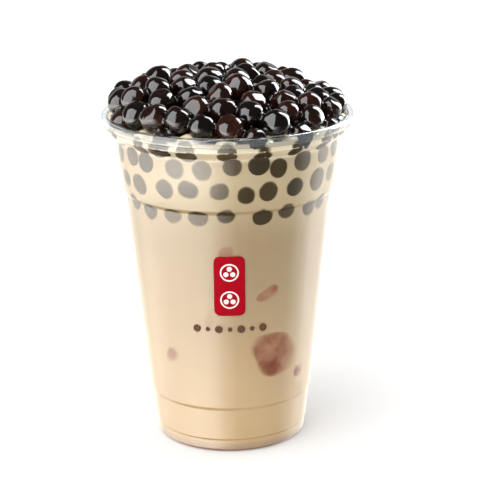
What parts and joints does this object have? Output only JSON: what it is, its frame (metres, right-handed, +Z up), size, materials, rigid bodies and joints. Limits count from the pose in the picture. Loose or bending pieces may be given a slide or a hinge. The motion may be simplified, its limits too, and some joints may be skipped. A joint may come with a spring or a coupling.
{
  "type": "bubble tea",
  "caption": "Clear plastic take-away cup of milk tea, heaped above the rim with glossy dark tapioca pearls, with no lid and no straw.",
  "frame": {"origin": "centre of the cup's standing ring, on the surface that it stands on", "axes": "+Z up along the cup's axis, -Y towards the printed side"},
  "size_m": [0.095, 0.095, 0.1441],
  "materials": {
    "cup": "clear glossy plastic",
    "milk_tea": "smooth opaque milk tea, wet surface",
    "pearls": "wet glossy dark brown tapioca",
    "ice": "soft reddish brown ice showing through the milk tea",
    "print_red": "flat red ink printed on the cup",
    "print_white": "flat white ink printed on the cup",
    "print_brown": "flat brown ink printed on the cup"
  },
  "bodies": {
    "root": {"cup": "cup", "milk_tea": "milk_tea", "pearl_heap": "pearls"}
  },
  "joints": []
}
